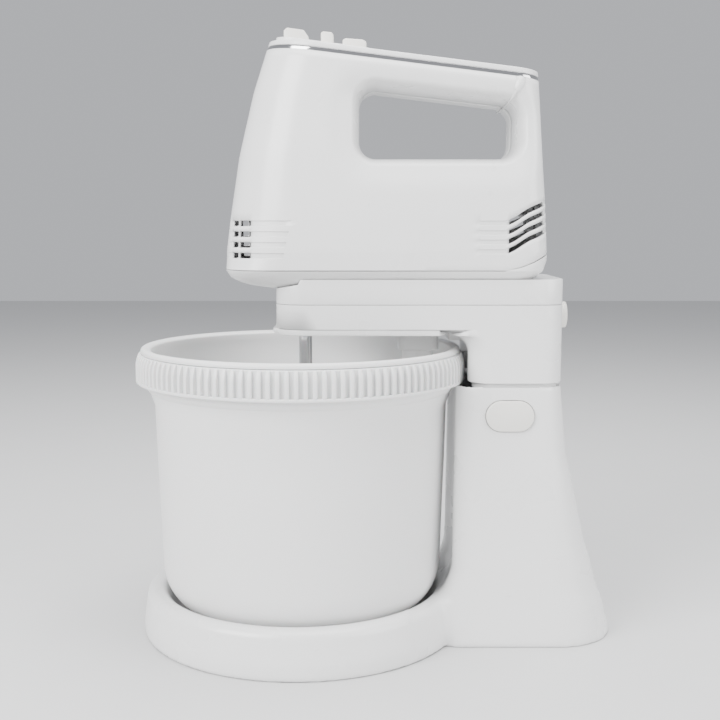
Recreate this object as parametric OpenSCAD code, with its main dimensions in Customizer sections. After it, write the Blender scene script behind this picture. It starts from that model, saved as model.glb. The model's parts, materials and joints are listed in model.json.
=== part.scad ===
// Stand mixer: a hand mixer docked on a tilting arm above a bowl that turns.
// +X runs from the bowl to the column, +Z is up. The origin is on the table, in the middle of the
// outline. Every module below is written about the bowl's axis, and frame() moves it into place.

/* [Bowl and ring] */
// Outer radius of the toothed ring on the bowl
ring_r = 103; // [100:0.5:108]
// Number of ribs round the ring
ring_ribs = 124; // [110:2:130]
// Height of the ring's lower edge above the table
ring_z = 159.7; // [155:0.5:165]
// Height of the ring
ring_h = 17.6; // [14:0.2:18]
// Width of the slot between two ribs
slot_w = 2.3; // [2.2:0.1:2.6]
// Outer radius of the bowl's wall under the ring
bowl_r = 91.7; // [88:0.1:93]
// Outer radius of the bowl's wall above its bottom corner
bowl_foot_r = 88.4; // [80:0.1:90]
// Radius of the bowl's bottom corner
bowl_corner_r = 32; // [20:1:38]
// Wall of the bowl
bowl_wall = 2.5; // [1.8:0.1:3]

/* [Base and column] */
// Radius of the round base
base_r = 101; // [98:0.5:106]
// Height of the base's ridge
base_h = 29; // [26:1:32]
// Wall of the stand's mouldings
stand_wall = 2.5; // [2:0.1:3]
// Half the width of the column at its top
column_half = 42; // [38:0.5:45]
// Half the width of the column at the table
foot_half = 49; // [46:0.5:54]
// Distance from the bowl's axis to the rear face of the column's top
column_deep = 56.2; // [53:0.2:61]
// How much further back the column's foot reaches
foot_back = 37; // [30:1:45]
// Height of the seam between the column and the arm
seam_z = 160; // [158:0.5:164]
// Radius of the rubber feet
foot_r = 8; // [5:0.5:10]

/* [Arm] */
// Height of the arm's underside
arm_z = 190; // [188:0.5:194]
// Height of the arm's top
arm_top = 223.5; // [222:0.5:226]
// Distance from the bowl's axis to the arm's front face
arm_front = 13.6; // [8:0.2:18]
// Height of the tilt axis
pivot_z = 140; // [132:1:144]
// Distance from the bowl's axis to the tilt axis
pivot_deep = 48; // [46:0.5:49]
// Radius of the tilt axis pin
pivot_r = 3; // [2.5:0.1:3.5]

/* [Drive] */
// Teeth on the pinion that turns the bowl
pinion_teeth = 12; // [11:1:14]
// Radius of the pulley on the pinion's shaft
big_pulley_r = 20; // [16:1:20]
// Radius of the pulley on the drive sleeve
small_pulley_r = 10; // [8:1:10]
// Half the distance between the two beaters
beater_half = 22.5; // [22:0.5:24]
// Radius of a beater's shaft
shaft_r = 3; // [2.5:0.1:3.2]
// Radius of a beater's cage
cage_r = 21; // [16:0.5:21]
// Height of the lowest point of the beaters
beater_z = 24; // [22:1:40]
// Height of the motor's axis
motor_z = 258; // [257:0.5:260]

/* [Hand mixer] */
// Height of the seam above the bottom pan
pan_seam_z = 228.6; // [228:0.2:231]
// Half the width of the body at that seam
head_half = 47; // [45:0.5:50]
// Wall of the hand mixer's mouldings
head_wall = 2.4; // [2:0.1:3]
// Height of the chrome strip
trim_h = 2.4; // [2:0.1:3]
// Thickness of the top cover
cover_t = 3; // [2.6:0.1:4]
// Length of the handle hole
grip_l = 94; // [86:0.5:95]
// Corner radius of the handle hole
grip_corner_r = 10; // [6:0.5:14]

/* [Fits] */
// Running clearance on a pin or a shaft, on the radius
run = 0.05; // [0.03:0.01:0.08]
// Gap between two mouldings
gap = 0.3; // [0.2:0.05:0.4]
// Gap along the seam between the column and the arm
seam_gap = 1.2; // [1:0.1:1.6]

/* [Hidden] */
$fn = 64;
eps = 0.01;

column_front = ring_r - 17;
column_back = ring_r + column_deep;
pivot_u = ring_r + pivot_deep;

// Outline: the bowl ring's left edge and the foot's rear edge are equally far from the origin.
back_u = column_back + foot_back;
axis_x = (ring_r - back_u) / 2;

// Drive: the pinion meshes with the ring's ribs at mid depth.
slot_depth = 2.6;
ring_pitch_r = ring_r - 1;
pinion_pitch_r = ring_pitch_r * pinion_teeth / ring_ribs;
pinion_u = ring_pitch_r + pinion_pitch_r;
pinion_tip_r = pinion_pitch_r + 1;
pinion_z0 = ring_z + 6.3;
pinion_z1 = ring_z + ring_h - 1.3;
belt_z = arm_z + 9;
belt_t = 1.2;
beater_u = 3;

// Hand mixer: lowest point, plane under the chrome strip and its slope.
pan_z = 217;
lid_z0 = 357.5;
lid_slope = 0.1263;
function lid_z(u) = lid_z0 - lid_slope * u;
platform_top = 366;
platform_slope = 0.129;
function platform_z(u) = platform_top - platform_slope * u;
grip_u = 36.4;
grip_z = 294.5;
function grip_top(u) = 342.6 - 0.1163 * u;

// Plan outline: a rectangle from u0 to u1, half as wide as h, with front and rear corner radii.
function bend(u, y, r, a) = [for (i = [0:8]) [u + r * cos(a + i * 11.25), y + r * sin(a + i * 11.25)]];
function plan(u0, u1, h, rf, rr) = concat(
    bend(u1 - rr, h - rr, rr, 0), bend(u0 + rf, h - rf, rf, 90),
    bend(u0 + rf, rf - h, rf, 180), bend(u1 - rr, rr - h, rr, 270));

// Column outline at height z, moved in by w.
column_rear = [[0, 1], [7, 0.955], [13, 0.9], [23, 0.83], [32, 0.725], [50, 0.59], [61, 0.485],
    [88, 0.31], [118, 0.11], [139, 0.054], [seam_z, 0]];
function column_plan(z, w) = plan(column_front + w, column_back + foot_back * lookup(z, column_rear) - w,
    lookup(z, [[0, foot_half], [60, (foot_half + column_half) / 2], [seam_z, column_half]]) - w,
    22 - w, lookup(z, [[0, 38], [60, 26], [100, 18], [seam_z, 14]]) - w);

// Hand mixer outline at height z, moved in by w.
head_nose = [[pan_z, -19], [219, -31], [221, -37], [224, -42], [pan_seam_z, -44.5], [240, -44.6],
    [260, -42.3], [297, -36.4], [335, -27.4], [363, -18.5], [376, -14.5]];
head_tail = [[pan_z, 113], [219, 128], [221, 136], [224, 142], [pan_seam_z, 146.4], [235, 148.4],
    [268, 146.9], [296, 145], [342, 142.7], [376, 139.5]];
head_side = [[pan_z, 0.5], [219, 0.68], [221, 0.76], [224, 0.87], [pan_seam_z, 0.985], [240, 1.01],
    [260, 1], [297, 0.947], [335, 0.85], [350, 0.8], [376, 0.7]];
function head_plan(z, w) = let (h = head_half * lookup(z, head_side) - w)
    plan(lookup(z, head_nose) + w, lookup(z, head_tail) - w, h,
        min(h - 1, lookup(z, [[pan_z, 24], [260, 42], [376, 30]])), min(14, h - 2));
head_levels = [pan_z, 219, 221, 224, pan_seam_z, 235, 240, 250, 260, 268, 280, 297, 315, 335, 350, 363, 376];

function flat(rings) = [for (r = rings) for (p = r) p];

// Skin over a stack of rings that have the same number of points, listed from the bottom up.
module skin(rings) {
    n = len(rings[0]);
    m = len(rings);
    polyhedron(flat(rings), concat(
        [[for (i = [0:n - 1]) i]],
        [for (k = [0:m - 2]) for (i = [0:n - 1]) each [
            [k * n + i, (k + 1) * n + i, k * n + (i + 1) % n],
            [k * n + (i + 1) % n, (k + 1) * n + i, (k + 1) * n + (i + 1) % n]]],
        [[for (i = [0:n - 1]) m * n - 1 - i]]));
}

module frame() translate([axis_x, 0, 0]) children();
// Prism of a side profile, given as [u, z] points, between y0 and y1.
module side_prism(points, y0, y1) translate([0, y1, 0]) rotate([90, 0, 0]) linear_extrude(y1 - y0) polygon(points);
module side_rod(u, z, r, y0, y1) translate([u, y0, z]) rotate([-90, 0, 0]) cylinder(r = r, h = y1 - y0);
module shaft_x(u0, u1, r, y = 0) translate([u0, y, motor_z]) rotate([0, 90, 0]) cylinder(r = r, h = u1 - u0);
module post(u, y, z0, z1, r) translate([u, y, z0]) cylinder(r = r, h = z1 - z0);
module slab(u0, u1, h, z0, z1) translate([u0, -h, z0]) cube([u1 - u0, 2 * h, z1 - z0]);
module both_sides() { children(); mirror([0, 1, 0]) children(); }
module block(u0, u1, y0, y1, z0, z1) translate([u0, y0, z0]) cube([u1 - u0, y1 - y0, z1 - z0]);

// Coil spring along +Z from the origin.
module coil(r, wire, h, turns) {
    steps = turns * 12;
    skin([for (i = [0:steps]) let (a = i * 30, c = [r * cos(a), r * sin(a), h * i / steps])
        [for (k = [0:5]) let (b = -k * 60) [c[0] + wire * cos(b) * cos(a), c[1] + wire * cos(b) * sin(a),
            c[2] + wire * sin(b)]]]);
}

// ---- Stand -------------------------------------------------------------------------------------

module column_block(w) skin([for (z = [0, 7, 13, 23, 32, 50, 61, 75, 88, 103, 118, 139, seam_z])
    [for (p = column_plan(z, w)) [p[0], p[1], z]]]);

// The round base: w moves its outline inwards to make the hollow.
module base_disc(w) rotate_extrude($fn = 128) polygon(concat(
    [[0, 0], [base_r - w, 0], [base_r - w, 9], [base_r - 2 - w, base_h - 7]],
    [for (a = [0:15:90]) [base_r - 8 + (6 - w) * cos(a), base_h - 6 + (6 - w) * sin(a)]],
    [for (a = [90:15:150]) [base_r - 10 + (5 - w) * cos(a), base_h - 6 + (6 - w) * sin(a)]],
    [[base_r - 21, 14 - w], [base_r - 29, 8 - w], [0, 8 - w]]));

// Hollow of the column: its floor stays open, and its front follows the bowl.
module column_hollow() difference() {
    skin([for (z = [-1, 7, 13, 23, 32, 50, 61, 75, 88, 103, 118, 139, seam_z + 1])
        [for (p = column_plan(z, stand_wall)) [p[0], p[1], z]]]);
    post(0, 0, -2, seam_z + 2, bowl_clear_r + stand_wall);
}
bowl_clear_r = bowl_r + 7;
ring_clear_r = ring_r + 3;
tilt_button_u = ring_r + 24;
tilt_button_z = 142;
tilt_button_h = [14.5, 9.3];

// A bar with round ends, a and b being half its length and half its height.
module oval_y(u, z, a, b, y0, y1) translate([u, y1, z]) rotate([90, 0, 0]) linear_extrude(y1 - y0)
    polygon([for (end = [1, -1]) for (i = [-90:10:90]) [end * (a - b + b * cos(i)), end * b * sin(i)]]);

module stand_housing() color("whitesmoke") difference() {
    union() {
        difference() {
            union() {
                base_disc(0);
                difference() {
                    column_block(0);
                    post(0, 0, base_h - 4, seam_z + 1, bowl_clear_r);
                    post(0, 0, ring_z - 4, seam_z + 1, ring_clear_r);
                    post(0, 0, -1, base_h, base_r - 6);
                }
            }
            translate([0, 0, -eps]) base_disc(stand_wall);
            column_hollow();
            // The bottom cover passes under the wall between the disc and the column.
            skin([for (z = [-1, 3]) [for (p = column_plan(0, stand_wall)) [p[0], p[1], z]]]);
        }
        post(0, 0, 2.6, 8, 9);
        both_sides() side_rod(pivot_u, pivot_z, pivot_r + 3, 27, column_half - 1.5);
        screw_places() post(0, 0, 2.6, 7.5, 4);
    }
    post(0, 0, 0, 9, turntable_pin_r);
    side_rod(pivot_u, pivot_z, pivot_r, -38, 38);
    oval_y(tilt_button_u, tilt_button_z, tilt_button_h[0] + gap, tilt_button_h[1] + gap, -60, -30);
    screw_places() post(0, 0, -1, 6.5, 1.5);
}
turntable_pin_r = 4;

// Five screws hold the bottom cover; the two in the column's foot stand against its walls.
foot_screw_u = ring_r + 17;
foot_screw_y = foot_half - 6;
module screw_places() for (p = [[-64, 0], [0, -70], [0, 70], [foot_screw_u, foot_screw_y], [foot_screw_u, -foot_screw_y]])
    translate([p[0], p[1], 0]) children();
// Five rubber feet: three under the disc and two under the column's foot.
module feet_places() for (p = [[-80, 0], [-20, -82], [-20, 82], [column_back - 9.2, -32], [column_back - 9.2, 32]])
    translate([p[0], p[1], 0]) children();

module bottom_cover() color("gainsboro") difference() {
    union() {
        post(0, 0, 0.4, 2.4, base_r - stand_wall - gap);
        intersection() {
            skin([for (z = [0.4, 2.4]) [for (p = column_plan(0, stand_wall + 1)) [p[0], p[1], z]]]);
            post(0, 0, 0.4, 2.4, back_u);
        }
    }
    screw_places() post(0, 0, -1, 4, 1.6);
    feet_places() post(0, 0, -1, 4, foot_r - 3);
}

module rubber_feet() color("dimgray") feet_places() {
    post(0, 0, 0, 0.4, foot_r);
    post(0, 0, 0.4, 3.2, foot_r - 3);
}

module cover_screws() color("silver") screw_places() {
    post(0, 0, 0.1, 0.4, 3);
    post(0, 0, 0.4, 6.4, 1.5);
}

module hinge_pin() color("silver") side_rod(pivot_u, pivot_z, pivot_r, -37.5, 37.5);
module turntable_pin() color("silver") post(0, 0, 2.8, 13.6, turntable_pin_r);
module glide_ring() color("white") difference() {
    post(0, 0, 8, 9, 56);
    post(0, 0, 7, 10, 50);
}

// Round-ended tilt button on the near side, with a stem that points inwards.
module tilt_button() color("ivory") {
    oval_y(tilt_button_u, tilt_button_z, tilt_button_h[0], tilt_button_h[1], -column_half - 2.6, -column_half + 1.4);
    oval_y(tilt_button_u, tilt_button_z, tilt_button_h[0] - 5, tilt_button_h[1] - 5, -column_half + 1.4, -30.5);
}
module tilt_spring() color("silver") translate([tilt_button_u, -31.2, tilt_button_z]) rotate([90, 0, 0])
    coil(10.4, 0.4, 8.6, 4);

// ---- Turntable and bowl ------------------------------------------------------------------------

module lugs(z0, z1, r) for (a = [0, 120, 240]) rotate(a) post(45, 0, z0, z1, r);

module turntable() color("gainsboro") difference() {
    union() {
        post(0, 0, 9, 12, 62);
        lugs(12, 13.8, 4);
    }
    post(0, 0, 5, 20, turntable_pin_r + run);
}

bowl_z = 12.2;
rim_z = ring_z + ring_h + 2.6;
function bowl_side(r0, r1, r2, c, z0) = concat(
    [for (a = [-90:7.5:0]) [r0 - c + c * cos(a), z0 + c + c * sin(a)]], [[r1, ring_z - 9], [r2, ring_z - 1]]);

module bowl() color("white") difference() {
    rotate_extrude($fn = 128) polygon(concat([[0, bowl_z]],
        bowl_side(bowl_foot_r, bowl_r, ring_r - 5.5, bowl_corner_r, bowl_z),
        [[ring_r - 5.5, ring_z + ring_h + 0.1], [ring_r - 3, ring_z + ring_h + 0.6], [ring_r - 3.4, rim_z - 0.6],
         [ring_r - 4.6, rim_z], [ring_r - 7.6, rim_z - 0.4], [ring_r - 5.5 - bowl_wall, rim_z - 3]],
        [for (p = [len(inner_side) - 1:-1:0]) inner_side[p]], [[0, bowl_z + 4.4]]));
    lugs(bowl_z - 1, 14.4, 4 + gap);
    post(0, 0, bowl_z - 1, 15, turntable_pin_r + 1);
}
inner_side = bowl_side(bowl_foot_r - bowl_wall, bowl_r - bowl_wall, ring_r - 5.5 - bowl_wall,
    bowl_corner_r - bowl_wall, bowl_z + 4.4);

module bowl_ring() color("white") difference() {
    post(0, 0, ring_z, ring_z + ring_h, ring_r, $fn = 128);
    post(0, 0, ring_z - 1, ring_z + ring_h + 1, ring_r - 5.4, $fn = 128);
    for (i = [0:ring_ribs - 1]) rotate(i * 360 / ring_ribs)
        block(ring_r - slot_depth, ring_r + 2, -slot_w / 2, slot_w / 2, ring_z + 1.9, ring_z + ring_h + 1);
}

// ---- Tilting arm -------------------------------------------------------------------------------

arm_part_z = 208.5;
module arm_block(w, z0, z1) translate([0, 0, z0]) linear_extrude(z1 - z0)
    polygon(plan(w - arm_front, column_back - w, column_half - w, 18 - w, 14 - w));
module upper_column(w, z0, z1) difference() {
    translate([0, 0, z0]) linear_extrude(z1 - z0)
        polygon(plan(column_front + w, column_back - w, column_half - w, 22 - w, 14 - w));
    post(0, 0, z0 - 1, z1 + 1, ring_clear_r + w);
}
release_z = 199.6;
release_r = 8.2;

module arm_housing() color("whitesmoke") difference() {
    union() {
        difference() {
            union() {
                arm_block(0, arm_z + 4, arm_part_z);
                upper_column(0, seam_z + seam_gap, arm_z + 5);
            }
            arm_block(stand_wall, arm_z + 6.5, arm_part_z + 1);
            upper_column(stand_wall, seam_z, arm_z + 7);
        }
        bracket_places() post(0, 0, arm_z + 3, cheek_top - cheek_flange, 4);
        // Ledges that carry the bracket's bosses from the side walls.
        both_sides() block(cheek_u - 4, pivot_u, 30, column_half - 1, arm_z + 3, arm_z + 4.6);
        intersection() {
            post(pinion_u, 0, arm_z - 4, arm_z + 4, pinion_shaft_r + 4.4);
            post(pinion_u + 3, 0, arm_z - 5, arm_z + 5, pinion_shaft_r + 6);
        }
    }
    post(pinion_u, 0, seam_z, arm_z - 4, pinion_tip_r + 1.4);
    post(pinion_u, 0, arm_z - 5, arm_z + 8, pinion_shaft_r + 2);
    both_sides() post(beater_u, beater_half, arm_z, arm_z + 8, small_pulley_r + 1.5);
    translate([column_back - 6, 0, release_z]) rotate([0, 90, 0]) cylinder(r = release_r + gap, h = 10);
    bracket_places() post(0, 0, arm_z, arm_part_z + 1, 1.5);
}

module arm_cover() color("whitesmoke") difference() {
    arm_block(0, arm_part_z + 0.2, arm_top);
    // Pocket that the hand mixer's belly sits in, open at the front.
    skin([for (z = [pan_z - 0.2, 219, 221, 224]) [for (p = head_plan(z, -1)) [p[0], p[1], z]]]);
    arm_block(stand_wall, arm_part_z - 1, pan_z - 4);
    // Ledge under the mixer's nose.
    side_prism([[-40, arm_top - 6.6], [-arm_front, arm_top - 5.8], [0.4, arm_top - 3.2],
        [2.6, arm_top + 1], [-40, arm_top + 1]], -60, 60);
    both_sides() post(beater_u, beater_half, arm_part_z - 1, arm_top, 8);
    slab(136, 148, 7, arm_part_z, arm_top + 1);
}

module arm_bottom_plate() color("whitesmoke") difference() {
    union() {
        intersection() {
            arm_block(0.6, arm_z, arm_z + 3.7);
            post(0, 0, arm_z - 1, arm_z + 5, ring_clear_r - 12);
        }
        intersection() {
            arm_block(-2, arm_z + 1, arm_z + 3.7);
            block(-arm_front - 4, -arm_front + 8, -30, 30, arm_z, arm_z + 5);
        }
    }
    both_sides() post(beater_u, beater_half, arm_z - 1, arm_z + 8, shaft_r + 3);
}

// Two cheeks reach down to the tilt axis, and a web above the pinion joins them.
cheek_u = ring_r + 9;
cheek_y = 21.5;
cheek_t = 3;
cheek_top = arm_z + 8.5;
cheek_flange = 1.5;
module bracket_places() for (u = [6, 28], s = [-1, 1]) translate([cheek_u + u, s * 31, 0]) children();
module tilt_bracket() color("silver") difference() {
    union() {
        both_sides() {
            side_prism([[pivot_u, pivot_z - 4], [pivot_u + 3, pivot_z + 4], [pivot_u - 10, pivot_z + 20],
                [pivot_u - 6, cheek_top], [cheek_u, cheek_top], [cheek_u, arm_z - 4], [cheek_u + 10, arm_z - 8],
                [pivot_u - 5, pivot_z]], cheek_y, cheek_y + cheek_t);
            side_rod(pivot_u, pivot_z, pivot_r + 3.4, cheek_y - 1, cheek_y + cheek_t + 1);
            block(cheek_u, pivot_u - 6, cheek_y, 36, cheek_top - cheek_flange, cheek_top);
        }
        slab(cheek_u + 8, cheek_u + 32, cheek_y + 1, arm_z - 4, arm_z - 1);
    }
    side_rod(pivot_u, pivot_z, pivot_r + 1.5, -40, 40);
    bracket_places() post(0, 0, arm_z, arm_part_z, 1.7);
}
pinion_shaft_r = 3;

module bracket_screws() color("silver") bracket_places() {
    post(0, 0, arm_z + 3.4, cheek_top, 1.5);
    post(0, 0, cheek_top, cheek_top + 1.6, 3);
}

module pivot_bushes() color("goldenrod") both_sides() difference() {
    side_rod(pivot_u, pivot_z, pivot_r + 1.5, cheek_y - 1, cheek_y + cheek_t + 1);
    side_rod(pivot_u, pivot_z, pivot_r + run, 0, 40);
}

module pinion_bushes() color("goldenrod") difference() {
    post(pinion_u, 0, arm_z - 4, arm_z + 4, pinion_shaft_r + 2);
    post(pinion_u, 0, arm_z - 5, arm_z + 6, pinion_shaft_r + run);
}

// Lug under the arm's root, over the ring's edge.
module gear_lug() color("whitesmoke") intersection() {
    union() {
        slab(ring_r - 11, ring_r + 1, 15, arm_z - 5, arm_z);
        slab(ring_r - 8, ring_r + 1, 15, arm_z - 1, arm_z + 4);
    }
    post(ring_r - 5, 0, arm_z - 6, arm_z + 5, 16);
}

// Scraper that hangs from the arm and follows the bowl's wall.
scraper_u = bowl_r - 27.7;
module bowl_scraper() color("white") {
    translate([0, 0, 60]) linear_extrude(arm_z - 60) polygon(plan(scraper_u, bowl_r - 9.2, 7, 4, 4));
    translate([0, 0, arm_z - 12]) linear_extrude(12) polygon(plan(scraper_u - 3, bowl_r - 5.2, 10, 5, 5));
}

module pulley_pair(d) hull() {
    post(pinion_u, 0, belt_z + 1, belt_z + 6, big_pulley_r + d);
    post(beater_u, -beater_half, belt_z + 1, belt_z + 6, small_pulley_r + d);
}
module drive_belt() color("black") difference() {
    pulley_pair(belt_t + gap);
    hull() {
        post(pinion_u, 0, belt_z, belt_z + 7, big_pulley_r + gap);
        post(beater_u, -beater_half, belt_z, belt_z + 7, small_pulley_r + gap);
    }
}

module pinion_tooth() polygon([[7, -0.75], [pinion_pitch_r - 0.6, -0.62], [pinion_tip_r, -0.4],
    [pinion_tip_r, 0.4], [pinion_pitch_r - 0.6, 0.62], [7, 0.75]]);
module drive_pinion() color("white") translate([pinion_u, 0, 0]) {
    translate([0, 0, pinion_z0]) linear_extrude(pinion_z1 - pinion_z0) union() {
        circle(r = pinion_pitch_r - 2.2);
        for (i = [0:pinion_teeth - 1]) rotate(180 + i * 360 / pinion_teeth) pinion_tooth();
    }
    post(0, 0, pinion_z0, arm_z - 4.4, pinion_shaft_r + 1.4);
    post(0, 0, pinion_z0, belt_z + 7.4, pinion_shaft_r);
}

module big_pulley() color("white") difference() {
    union() {
        post(pinion_u, 0, belt_z, belt_z + 0.8, big_pulley_r + 1);
        post(pinion_u, 0, belt_z, belt_z + 6.6, big_pulley_r);
    }
    post(pinion_u, 0, belt_z - 1, belt_z + 8, pinion_shaft_r);
    for (a = [0:60:300]) translate([pinion_u, 0, 0]) rotate(a) post(12, 0, belt_z - 1, belt_z + 8, 3.4);
}

module drive_sleeve() color("white") difference() {
    union() {
        post(beater_u, -beater_half, arm_z + 4.2, pan_z - 4.6, 6.4);
        post(beater_u, -beater_half, belt_z, belt_z + 0.8, small_pulley_r + 1);
        post(beater_u, -beater_half, belt_z, belt_z + 6.6, small_pulley_r);
    }
    post(beater_u, -beater_half, arm_z, pan_z, shaft_r + 0.6);
}

// Round release button at the arm's rear, with its latch.
module release_button() color("ivory") {
    translate([column_back - 4, 0, release_z]) rotate([0, 90, 0]) cylinder(r = release_r, h = 11.4);
    block(140, column_back - 4, -5, 5, release_z - 4, release_z + 1);
    block(140, 143, -5, 5, release_z, pan_z + 1.4);
}
module release_spring() color("silver") translate([column_back - 12.4, 0, release_z - 1.5])
    rotate([0, 90, 0]) coil(7.6, 0.4, 8.2, 4);

// ---- Hand mixer --------------------------------------------------------------------------------

module head_block(w, z0 = pan_z) skin([for (z = [for (k = head_levels) if (k >= z0) k])
    [for (p = head_plan(z, w)) [p[0], p[1], z]]]);

// Half space under the plane of the lid, raised by d.
module below_lid(d) side_prism([[-70, 200], [-70, lid_z(-70) + d], [180, lid_z(180) + d], [180, 200]], -60, 60);
// Region of the bottom pan: its seam runs level and rises at the rear.
pan_edge = [[-70, pan_seam_z], [122, pan_seam_z], [132, pan_seam_z + 2.2], [140, pan_seam_z + 5.4],
    [147, pan_seam_z + 9], [153, pan_seam_z + 13], [180, pan_seam_z + 15]];
module below_seam(d) side_prism(concat([[-70, 200]], [for (p = pan_edge) [p[0], p[1] + d]], [[180, 200]]), -60, 60);

// Handle hole outline, moved outwards by w.
function grip_outline(w) = let (r = grip_corner_r + w, u0 = grip_u + grip_corner_r,
    u1 = grip_u + grip_l - grip_corner_r, z0 = grip_z + grip_corner_r) concat(
        [for (a = [180:15:270]) [u0 + r * cos(a), z0 + r * sin(a)]],
        [for (a = [270:15:360]) [u1 + r * cos(a), z0 + r * sin(a)]],
        [for (a = [0:15:90]) [u1 + r * cos(a), grip_top(u1) - grip_corner_r + r * sin(a)]],
        [for (a = [90:15:180]) [u0 + r * cos(a), grip_top(u0) - grip_corner_r + r * sin(a)]]);

vent_rows = [0, 1, 2, 3];
module front_vents() for (k = vent_rows) block(-34, -24, -60, 60, 236 + k * 6.3, 239 + k * 6.3);
module rear_vents() for (k = vent_rows) both_sides() translate([122, 30, 238 + k * 5.5]) rotate([0, -24, 0])
    block(0, 16, 0, 30, 0, 2.8);

module mixer_shell() difference() {
    intersection() {
        head_block(0);
        below_lid(-0.05);
    }
    difference() {
        head_block(head_wall);
        side_prism(grip_outline(head_wall), -60, 60);
    }
    below_seam(0.1);
    side_prism(grip_outline(0), -60, 60);
    front_vents();
    rear_vents();
    side_rod(gland_u, gland_z, gland_r, 30, 60);
}
gland_u = 128;
gland_z = 279;
gland_y = head_half - 1.2;
gland_r = 4.5;

module mixer_housing_left() color("whitesmoke") intersection() {
    mixer_shell();
    block(-80, 200, -80, -0.05, 200, 400);
}
module mixer_housing_right() color("whitesmoke") intersection() {
    mixer_shell();
    block(-80, 200, 0.05, 80, 200, 400);
}

module lid_slice(d0, d1) side_prism([[-70, lid_z(-70) + d0], [-70, lid_z(-70) + d1], [180, lid_z(180) + d1],
    [180, lid_z(180) + d0]], -60, 60);
module chrome_trim() color("silver") difference() {
    intersection() {
        head_block(0.2, 300);
        lid_slice(0, trim_h);
    }
    head_block(head_wall + 1, 300);
}

// Raised platform under the controls, moved in by w.
module platform(w, z0) intersection() {
    translate([0, 0, z0]) linear_extrude(60) polygon(plan(-13.5 + w, 46 - w, 19 - w, 12 - w, 8 - w));
    side_prism([[-40, z0], [-40, platform_z(-40) - w], [80, platform_z(80) - w], [80, z0]], -30, 30);
}
module top_cover() color("whitesmoke") difference() {
    union() {
        intersection() {
            head_block(0, 300);
            lid_slice(trim_h + 0.05, trim_h + cover_t);
        }
        difference() {
            platform(0, 340);
            side_prism([[-40, 300], [-40, lid_z(-40) + trim_h + 0.1], [80, lid_z(80) + trim_h + 0.1], [80, 300]], -40, 40);
        }
    }
    platform(2, 330);
    slab(eject_u0 - gap, eject_u1 + gap, 9 + gap, 340, 400);
    slab(slider_u0 - slider_travel - gap, slider_u1 + gap, 4 + gap, 340, 400);
    slab(turbo_u0 - gap, turbo_u1 + gap, 9 + gap, 340, 400);
}

module bottom_pan() color("whitesmoke") difference() {
    intersection() {
        head_block(0);
        below_seam(0);
    }
    skin([for (z = [219.4, 221, 224, pan_seam_z, 235, 250]) [for (p = head_plan(z, head_wall)) [p[0], p[1], z]]]);
    both_sides() post(beater_u, beater_half, pan_z - 1, 230, 7);
    slab(136, 147, 6, pan_z - 1, 230);
}

// ---- Motor and gearbox ---------------------------------------------------------------------------

worm_r = 4.3;
wheel_r = beater_half - worm_r - 0.4;
module gearbox_frame() color("gray") difference() {
    union() {
        slab(-16, 22, beater_half + 10, 264.6, 268);
        slab(-16, 22, beater_half + 10, 230.5, 234);
        both_sides() block(-6, 22, beater_half + 18.2, beater_half + 19.8, 232, 266);
        both_sides() block(-6, 22, beater_half + 9, beater_half + 19, 264.6, 266);
        both_sides() block(-6, 22, beater_half + 9, beater_half + 19, 232, 233.4);
        slab(-16, -12.6, 12, 232, 266);
    }
    both_sides() post(beater_u, beater_half, 220, 280, socket_r + run);
    shaft_x(-20, -12, 7);
    block(-20, 20, -3, 3, 240, motor_z);
}
socket_r = 6;

module worm_wheel(side) translate([beater_u, side * beater_half, 0]) difference() {
    union() {
        translate([0, 0, motor_z - 4]) linear_extrude(8) polygon([for (i = [0:143]) let (a = i * 2.5,
            r = wheel_r - (i % 4 > 1 ? 1.1 : 0)) [r * cos(a), r * sin(a)]]);
        post(0, 0, pan_z + 3, 270, socket_r);
    }
    post(0, 0, pan_z, 250, shaft_r);
}
module worm_wheel_left() color("white") worm_wheel(-1);
module worm_wheel_right() color("white") worm_wheel(1);

// Beater: a shaft, a collar and two crossed oval loops.
cage_top = 104;
module cage_loop() rotate([90, 0, 0]) linear_extrude(5, center = true) difference() {
    polygon([for (a = [0:6:354]) [cage_r * cos(a) * (1 - 0.12 * sin(a)), cage_mid + cage_high * sin(a)]]);
    polygon([for (a = [0:6:354]) [(cage_r - 1.6) * cos(a) * (1 - 0.12 * sin(a)), cage_mid + (cage_high - 1.6) * sin(a)]]);
}
cage_mid = (cage_top + beater_z) / 2;
cage_high = (cage_top - beater_z) / 2;
module beater(side) translate([beater_u, side * beater_half, 0]) {
    post(0, 0, cage_top - 3, 249.5, shaft_r);
    post(0, 0, cage_top - 3, cage_top + 5, shaft_r + 2);
    for (a = [45, 135]) rotate(a) cage_loop();
}
module beater_left() color("silver") beater(-1);
module beater_right() color("silver") beater(1);

stator_u0 = 40;
stator_u1 = 62;
module motor_stator() color("dimgray") difference() {
    block(stator_u0, stator_u1, -25, 25, motor_z - 25, motor_z + 25);
    shaft_x(30, 80, 15.6);
    both_sides() block(30, 80, 15, 21, motor_z - 12, motor_z + 12);
}
module field_coils() color("chocolate") for (s = [-1, 1], u = [[33.4, stator_u0], [stator_u1, 68.6]])
    difference() {
        block(u[0], u[1], -19, 19, motor_z + s * 19.5 - 4.5, motor_z + s * 19.5 + 4.5);
        shaft_x(30, 80, 16);
    }
module motor_bearings() color("goldenrod") for (u = [-16, 96]) difference() {
    shaft_x(u, u + 4, 7);
    shaft_x(u - 1, u + 6, shaft_r + run);
}
module rear_bearing_bracket() color("gray") difference() {
    union() {
        block(95, 101, -24, 24, motor_z - 11, motor_z + 11);
        both_sides() block(stator_u1, 95.5, 25, 28, motor_z - 5, motor_z + 5);
        both_sides() block(92, 95.5, 23, 28, motor_z - 5, motor_z + 5);
    }
    shaft_x(94, 102, 7);
}
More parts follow.
